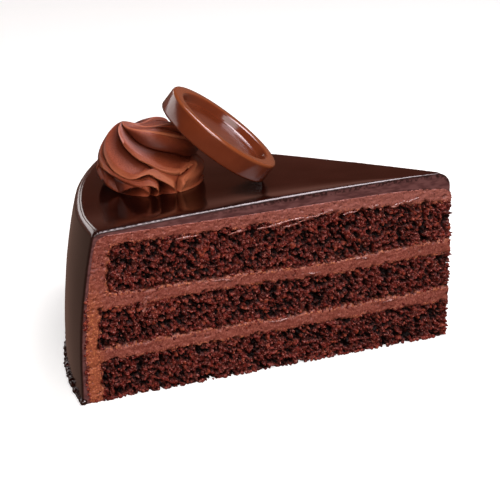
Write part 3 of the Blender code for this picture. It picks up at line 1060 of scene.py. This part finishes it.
# %% Room for the disc
def below_disc(x, y, z):
    """Presses points that would enter the disc back to its underside."""
    away = [value - centre for value, centre in zip((x, y, z), DISC_CENTRE)]
    along = sum(part * share for part, share in zip(away, DISC_AXIS))
    aside = np.sqrt(np.maximum(sum(part ** 2 for part in away) - along ** 2, 0.0))
    under = smooth_step((DISC_RADIUS + 1.5 - aside) / 2.0)
    press = np.maximum(along + DISC_THICKNESS + 0.1, 0.0) * under
    return [value - press * share for value, share in zip((x, y, z), DISC_AXIS)]

# %% The rosette's skin
def ridge_hollow(phase, crease):
    """0 on both ridges and 1 in the crease between them."""
    rise = np.clip(phase / crease, 0, 1)
    fall = np.clip((1 - phase) / (1 - crease), 0, 1)
    return np.minimum(rise ** 0.8, fall ** 0.9)


def between(lines, ridge, row, share):
    """A value of the ridge lines at a share of the way from one ridge to the next."""
    return lines[ridge, row] * (1 - share) + lines[ridge + 1, row] * share


def rosette_skin(ridge, phase, row):
    """The rosette's skin at a phase between two ridges and a row between the base and the peak.

    Gives x, y and z in mm, and how much painted shade each point gets: more the deeper it lies in a fold,
    and more on the lower folds of the left side.
    """
    bearings, levels, bulks = ridge_lines(ROSETTE_ROWS + 1)
    high, low, top_depth, foot_depth = np.array([shares for _, *shares, _ in RIDGES])[ridge].T
    angle = between(bearings, ridge, row, phase)
    level = between(levels, ridge, row, phase)
    bulk = between(bulks, ridge, row, smooth_step(phase))
    drift = smooth_step((0.72 - level) / 0.35)
    crease = high + (low - high) * drift
    hollow = ridge_hollow(phase, crease)
    tuck = 1 - 0.12 * (1 - smooth_step(level / 0.15))
    outline = ROSETTE_RADIUS * tuck * np.maximum(1 - level ** 2, 0.0) ** 0.85 + bulk
    depth = RIDGE_DEPTH * (top_depth + (foot_depth - top_depth) * smooth_step((0.45 - level) / 0.3))
    apart = (bearings[ridge + 1, row] - bearings[ridge, row]) * outline * (phase - crease)
    # A narrow slot deepens each crease; it fades at the peak, and on the ridges so that they meet exactly.
    slot = SLOT_DEPTH * bell(apart / SLOT_WIDTH) * smooth_step((0.95 - level) / 0.1)
    slot = slot * smooth_step(hollow / 0.3)
    sink = np.minimum(depth * outline, DEEPEST) * hollow + slot
    reach = outline - sink * smooth_step(level / 0.06 + 0.3)
    lean = level ** 1.5
    x = ROSETTE_PLACE[0] + PEAK_LEAN[0] * lean + reach * np.cos(angle)
    y = ROSETTE_PLACE[1] + PEAK_LEAN[1] * lean + reach * np.sin(angle)
    foot = glaze_top(*polar(x, y)) + 0.1
    peak = GLAZE_RIM_TOP + ROSETTE_HEIGHT
    lift = SHELF_LIFT * smooth_step(hollow / 0.16) * smooth_step(level / 0.15) * (1 - level ** 3)
    z = foot * (1 - level) + peak * level + lift
    # Painted shade on the lower folds of the left side.
    low_left_shade = smooth_step((0.2 - np.cos(angle)) / 0.8) * smooth_step((0.36 - level) / 0.25)
    return *below_disc(x, y, z), hollow * depth / RIDGE_DEPTH + 0.45 * low_left_shade

# %% Make the rosette
def make_rosette():
    clear_selection()
    columns = RIDGE_CELLS * len(RIDGES)
    bpy.ops.mesh.primitive_grid_add(x_subdivisions=columns, y_subdivisions=ROSETTE_ROWS, size=1.0)
    rosette = bpy.context.object
    rosette.name = rosette.data.name = "piped_rosette"
    along, up, _ = grid_shares(rosette)
    column = np.rint(along * columns).astype(int)
    ridge = np.minimum(column // RIDGE_CELLS, len(RIDGES) - 1)
    phase = column / RIDGE_CELLS - ridge
    x, y, z, hollow = rosette_skin(ridge, phase, np.rint(up * ROSETTE_ROWS).astype(int))
    set_points(rosette, np.stack((x, y, z), axis=-1) * MM)
    # The fourth number is painted shade, deep in the folds and low on the left side.
    store(rosette, "fold_shade", hollow)
    bpy.ops.object.mode_set(mode="EDIT")
    bpy.ops.mesh.select_mode(type="VERT")
    bpy.ops.mesh.select_all(action="DESELECT")
    bpy.ops.object.mode_set(mode="OBJECT")
    # The sheet's two sides meet in a seam and its top row in the peak. The open base is then filled.
    meeting = (column == 0) | (column == columns) | (up > 1 - 0.5 / ROSETTE_ROWS)
    rosette.data.vertices.foreach_set("select", meeting)
    bpy.ops.object.mode_set(mode="EDIT")
    bpy.ops.mesh.remove_doubles(threshold=0.00001)
    bpy.ops.mesh.select_all(action="DESELECT")
    bpy.ops.mesh.select_mode(type="EDGE")
    bpy.ops.mesh.select_non_manifold(extend=False)
    bpy.ops.mesh.edge_face_add()
    bpy.ops.mesh.select_mode(type="VERT")
    bpy.ops.object.mode_set(mode="OBJECT")
    face_outwards(rosette)
    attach(rosette, "root")
    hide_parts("rosette")
    return rosette


rosette = make_rosette()
print("faces in the rosette:", len(rosette.data.polygons))

# %% Piped cream material
PIPED_BROWN, PIPED_LIGHTER, PORE_BROWN = (0.29, 0.058, 0.025), (0.34, 0.073, 0.032), (0.24, 0.046, 0.020)
FOLD_SHADE, PAINTED_CREST_HIGHLIGHT = (0.095, 0.0155, 0.006), (0.50, 0.145, 0.066)


def piped_material():
    material, tree, shader = new_material("piped_cream")
    spot = object_mm(tree)
    pores = noise(tree, spot, 0.45, 2.0)
    fold_shade = carried(tree, "fold_shade")
    brown = blend_colours(tree, ramp(tree, noise(tree, spot, 5.0), 0.35, 0.65), PIPED_BROWN, PIPED_LIGHTER)
    speckled = blend_colours(tree, ramp(tree, pores, 0.60, 0.25), brown, PORE_BROWN)
    # Painted shade deep in the folds and on the lower left side.
    shaded = blend_colours(tree, ramp(tree, fold_shade, 0.12, 0.75), speckled, FOLD_SHADE)
    # Painted highlight: the crests are painted lighter and more orange.
    colour = blend_colours(tree, ramp(tree, fold_shade, 0.16, 0.0), shaded, PAINTED_CREST_HIGHLIGHT)
    shader.inputs["Specular IOR Level"].default_value = 0.25
    finish_shader(tree, shader, colour, 0.5, pores, 0.10)
    return material


give(rosette, piped_material())

# %% [markdown]
# ## The disc
#
# A moulded chocolate disc, like a very shallow cup, leans on the rosette with its recess up. It is made
# from a cylinder: its top face is inset, the inset is pushed down and narrowed as a mould needs, and the
# rims are bevelled. The flat ring round the recess is painted a little brighter and more orange than the
# rest, as painted light where it catches the lamps.

# %% Disc
RECESS_RADIUS, RECESS_DEPTH = 15.2, 2.6
RECESS_DRAFT = math.radians(20)
RIM_BEVEL = 0.75


def make_disc():
    clear_selection()
    bpy.ops.mesh.primitive_cylinder_add(vertices=144, radius=DISC_RADIUS * MM, depth=DISC_THICKNESS * MM,
                                        location=(0.0, 0.0, -DISC_THICKNESS / 2 * MM))
    disc = bpy.context.object
    disc.name = disc.data.name = "moulded_disc"
    bpy.ops.object.transform_apply(location=True, rotation=True, scale=True)
    bpy.ops.object.mode_set(mode="EDIT")
    bpy.ops.mesh.select_mode(type="FACE")
    bpy.ops.mesh.select_all(action="DESELECT")
    bpy.ops.object.mode_set(mode="OBJECT")
    for face in disc.data.polygons:
        face.select = face.normal.z > 0.9
    bpy.ops.object.mode_set(mode="EDIT")
    bpy.ops.mesh.inset(thickness=(DISC_RADIUS - RECESS_RADIUS) * MM)
    bpy.ops.mesh.extrude_region_move(TRANSFORM_OT_translate={"value": (0.0, 0.0, -RECESS_DEPTH * MM)})
    shrink = 1 - RECESS_DEPTH * math.tan(RECESS_DRAFT) / RECESS_RADIUS
    bpy.ops.transform.resize(value=(shrink, shrink, 1.0))
    bpy.ops.object.mode_set(mode="OBJECT")
    rims = disc.modifiers.new("rims", "BEVEL")
    rims.width, rims.segments, rims.limit_method = RIM_BEVEL * MM, 5, "ANGLE"
    rims.angle_limit = math.radians(50)
    bpy.ops.object.modifier_apply(modifier="rims")
    disc.location = [value * MM for value in DISC_CENTRE]
    disc.rotation_euler = (0.0, DISC_TILT, DISC_HEADING)
    bpy.ops.object.transform_apply(location=True, rotation=True, scale=True)
    bpy.ops.object.shade_smooth_by_angle(angle=math.radians(30))
    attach(disc, "root")
    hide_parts("chocolate_disc")
    return disc


disc = make_disc()
print("faces in the disc:", len(disc.data.polygons))

# %% Moulded chocolate material
CHOCOLATE_BROWN, CHOCOLATE_LIGHTER = (0.130, 0.024, 0.008), (0.170, 0.034, 0.012)
RIM_PAINTED_LIGHT = (0.27, 0.066, 0.020)


def chocolate_material():
    material, tree, shader = new_material("moulded_chocolate")
    spot = object_mm(tree)
    cloud = noise(tree, spot, 9.0, 3.0)
    plain = blend_colours(tree, ramp(tree, cloud, 0.3, 0.7), CHOCOLATE_BROWN, CHOCOLATE_LIGHTER)
    away = vector_calc(tree, "SUBTRACT", spot, DISC_CENTRE)
    along = put(tree, "ShaderNodeVectorMath", {0: away, 1: DISC_AXIS}, output="Value",
                operation="DOT_PRODUCT")
    reach = put(tree, "ShaderNodeVectorMath", {0: away}, output="Value", operation="LENGTH")
    near_top = ramp(tree, along, -1.0, -0.3)
    off_recess = ramp(tree, reach, RECESS_RADIUS, RECESS_RADIUS + 0.5)
    # Painted light: the flat ring round the recess is brighter and more orange.
    colour = blend_colours(tree, times(tree, near_top, off_recess), plain, RIM_PAINTED_LIGHT)
    rough = calc(tree, "ADD", 0.11, times(tree, noise(tree, spot, 3.0), 0.08))
    finish_shader(tree, shader, colour, rough, noise(tree, spot, 2.2), 0.03)
    return material


give(disc, chocolate_material())

# %% [markdown]
# ## Crumbs, strands and drops
#
# A knife leaves things behind: crumbs on both cuts and round the foot, and strands of cream dragged along
# the layers. Thick drops stand where the glaze ran to the foot of the curved side. Each kind is one joined
# mesh. For crumbs and drops, a lump of a few dozen faces is copied to many points by geometry nodes, each
# copy with its own size and turn, and the copies are made real. The strands are thin spindles, shaped one
# by one.

# %% Copying a lump to many places
LUMP_SEED = 4
LUMP_CUTS = 2
LUMP_HALF = 0.58


def make_lump(squash, seed):
    """A small uneven lump of a few dozen faces, one unit across."""
    clear_selection()
    bpy.ops.mesh.primitive_cube_add(size=1.0)
    lump = bpy.context.object
    bpy.ops.object.mode_set(mode="EDIT")
    bpy.ops.mesh.select_all(action="SELECT")
    bpy.ops.mesh.subdivide(number_cuts=LUMP_CUTS)
    bpy.ops.transform.tosphere(value=0.8)
    bpy.ops.transform.vertex_random(offset=0.17, seed=seed)
    bpy.ops.transform.resize(value=squash)
    bpy.ops.mesh.normals_make_consistent(inside=False)
    bpy.ops.object.mode_set(mode="OBJECT")
    return lump


def scatter(name, lump, points, sizes, tints, turn=2 * math.pi):
    """Copies of the lump at points in metres, with sizes in mm, as one joined mesh lifted off the floor."""
    points[:, 2] = np.maximum(points[:, 2], LUMP_HALF * sizes * MM)
    mesh = bpy.data.meshes.new(name)
    mesh.from_pydata([tuple(point) for point in points], [], [])
    piece = bpy.data.objects.new(name, mesh)
    bpy.context.scene.collection.objects.link(piece)
    store(piece, "size", sizes * MM)
    store(piece, "tint", tints)

    def build(tree, geometry):
        source = put(tree, "GeometryNodeObjectInfo", {"Object": lump}, output="Geometry")
        turns = tree.nodes.new("FunctionNodeRandomValue")
        turns.data_type = "FLOAT_VECTOR"
        turns.inputs["Max"].default_value = (turn, turn, 2 * math.pi)
        copies = put(tree, "GeometryNodeInstanceOnPoints",
                     {"Points": geometry, "Instance": source, "Scale": named(tree, "size"),
                      "Rotation": turns.outputs["Value"]})
        return put(tree, "GeometryNodeRealizeInstances", {"Geometry": copies})

    run_nodes(piece, "copies", build)
    bpy.data.objects.remove(lump)
    face_outwards(piece)
    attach(piece, "root")
    return piece


def on_cut(radius, height, side, proud):
    """Points on a cut, in metres. Side is -1 near and +1 far, and proud is how far out they are, in mm."""
    flat = place(radius, side * HALF_ANGLE + 0.0 * radius, height)
    outward = np.stack(np.broadcast_arrays(CUT_SINE, side * CUT_COSINE, 0.0 * radius), axis=-1)
    return flat + outward * np.expand_dims(proud + 0.0 * radius, -1) * MM

# %% Crumbs
# How many lie on each cut, along its foot, and where the coat meets the glaze; the other two counts are for
# the foot of the curved side and for the pointed end.
CUT_CRUMBS = 200
FOOT_CRUMBS = 70
SEAM_CRUMBS = 70
ROUND_CRUMBS = 35
TIP_CRUMBS = 40


def make_crumbs():
    draw = np.random.default_rng(7)
    points, sizes = [], []
    for side in (-1.0, 1.0):
        radius = draw.uniform(6.0, 113.0, CUT_CRUMBS)
        height = draw.uniform(0.6, 49.0, CUT_CRUMBS)
        points.append(on_cut(radius, height, side, 0.15))
        sizes.append(draw.uniform(0.35, 0.8, CUT_CRUMBS))
        seam_height = draw.uniform(0.3, 34.0, SEAM_CRUMBS)
        seam_radius = coat_radius(seam_height) + draw.uniform(-0.3, 0.7, SEAM_CRUMBS)
        points.append(on_cut(seam_radius, seam_height, side, 0.05))
        sizes.append(draw.uniform(0.35, 0.85, SEAM_CRUMBS))
        foot = draw.uniform(4.0, 117.0, FOOT_CRUMBS)
        points.append(on_cut(foot, 0.5 + 0.0 * foot, side, 0.2))
        sizes.append(draw.uniform(0.5, 1.1, FOOT_CRUMBS))
    angle = draw.uniform(-HALF_ANGLE, HALF_ANGLE, ROUND_CRUMBS)
    points.append(place(CAKE_RADIUS + 0.1 + 0.0 * angle, angle, draw.uniform(0.35, 1.3, ROUND_CRUMBS)))
    sizes.append(draw.uniform(0.4, 0.9, ROUND_CRUMBS))
    height = draw.uniform(1.0, 46.0, TIP_CRUMBS)
    points.append(place(tip_radius(height) + 0.1, draw.uniform(-0.6, 0.6, TIP_CRUMBS), height))
    sizes.append(draw.uniform(0.4, 0.9, TIP_CRUMBS))
    points, sizes = np.concatenate(points), np.concatenate(sizes)
    crumbs = scatter("loose_crumbs", make_lump((1.1, 0.9, 0.8), LUMP_SEED), points, sizes,
                     draw.uniform(0.0, 1.0, len(sizes)))
    give(crumbs, SPONGE_MATERIAL)
    return crumbs


crumbs = make_crumbs()
print("faces in the crumbs:", len(crumbs.data.polygons))

# %% Strands of cream
# Each strand has its start and end on a cut, as radius and height, and its width in mm. Both cuts get
# all of them.
STRANDS = (
    ((66.0, 45.9), (55.0, 46.9), 0.8), ((60.5, 46.6), (50.0, 47.4), 0.6), ((53.0, 46.2), (45.5, 47.6), 0.9),
    ((47.0, 47.6), (41.5, 48.2), 0.6), ((57.5, 45.4), (52.0, 45.7), 0.5), ((30.4, 47.3), (25.6, 47.7), 0.9),
    ((22.4, 46.6), (17.0, 47.4), 1.2), ((18.6, 47.2), (12.5, 48.0), 0.9), ((75.0, 45.6), (69.0, 46.2), 0.6),
    ((100.3, 30.6), (100.9, 24.8), 1.3), ((91.0, 46.4), (84.0, 46.9), 0.7),
    ((38.4, 46.5), (33.5, 46.9), 0.5),
    ((34.5, 31.6), (29.0, 31.2), 0.6), ((80.0, 31.9), (73.0, 31.5), 0.6), ((62.0, 15.6), (55.0, 15.9), 0.6),
    ((24.0, 15.8), (18.5, 15.6), 0.6), ((50.0, 29.4), (45.0, 29.0), 0.6),
)
STRAND_SIDES, STRAND_RINGS = 8, 20


def make_strand(start, end, width, side, draw):
    """A flattened, tapered strand that lies along a cut and wavers a little; one of them hangs down it."""
    clear_selection()
    bpy.ops.mesh.primitive_uv_sphere_add(segments=STRAND_SIDES, ring_count=STRAND_RINGS, radius=0.5)
    strand = bpy.context.object
    thick, wide, along = get_points(strand).T
    share = along + 0.5
    waver = 0.16 * np.sin(share * draw.uniform(4, 9) + draw.uniform(0, 6))
    girth = 1.0 + 0.45 * np.sin(share * draw.uniform(9, 16) + draw.uniform(0, 6))
    radius = start[0] + (end[0] - start[0]) * share
    height = start[1] + (end[1] - start[1]) * share + wide * width * girth + waver
    if abs(end[0] - start[0]) < 1:
        radius, height = radius + wide * width + waver, start[1] + (end[1] - start[1]) * share
    set_points(strand, on_cut(radius, height, side, 0.30 + thick * 0.8 * girth))
    return strand


def make_strands():
    draw = np.random.default_rng(11)
    made = [make_strand(*line, side, draw) for side in (-1.0, 1.0) for line in STRANDS]
    clear_selection()
    for strand in made:
        strand.select_set(True)
    bpy.context.view_layer.objects.active = made[0]
    bpy.ops.object.join()
    strands = bpy.context.object
    strands.name = strands.data.name = "dragged_cream"
    face_outwards(strands)
    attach(strands, "root")
    return strands


strands = make_strands()
print("faces in the strands:", len(strands.data.polygons))

# %% Dragged cream material
STRAND_BROWN, STRAND_PALE = (0.21, 0.050, 0.034), (0.44, 0.17, 0.14)


def dragged_material():
    material, tree, shader = new_material("dragged_cream")
    spot = object_mm(tree)
    streak = noise(tree, spot, 0.9)
    colour = blend_colours(tree, ramp(tree, streak, 0.45, 0.65), STRAND_BROWN, STRAND_PALE)
    shader.inputs["Specular IOR Level"].default_value = 0.8
    rough = calc(tree, "ADD", 0.06, times(tree, noise(tree, spot, 1.0), 0.2))
    finish_shader(tree, shader, colour, rough, noise(tree, spot, 0.5), 0.30)
    return material


give(strands, dragged_material())

# %% Drops at the foot of the glaze
FOOT_DROPS = 74


def make_drops():
    draw = np.random.default_rng(3)
    angle = np.linspace(-0.99, 0.99, FOOT_DROPS) * HALF_ANGLE + draw.uniform(-0.006, 0.006, FOOT_DROPS)
    size = draw.uniform(1.1, 2.3, FOOT_DROPS)
    size[0] = 1.7
    points = place(CAKE_RADIUS + 0.1 - 0.2 * size, angle, 0.36 * size)
    drops = scatter("foot_drops", make_lump((1.0, 1.0, 0.72), LUMP_SEED + 1), points, size,
                    draw.uniform(0.0, 1.0, FOOT_DROPS), turn=0.2)
    give(drops, GLAZE_MATERIAL)
    return drops


drops = make_drops()
print("faces in the drops:", len(drops.data.polygons))
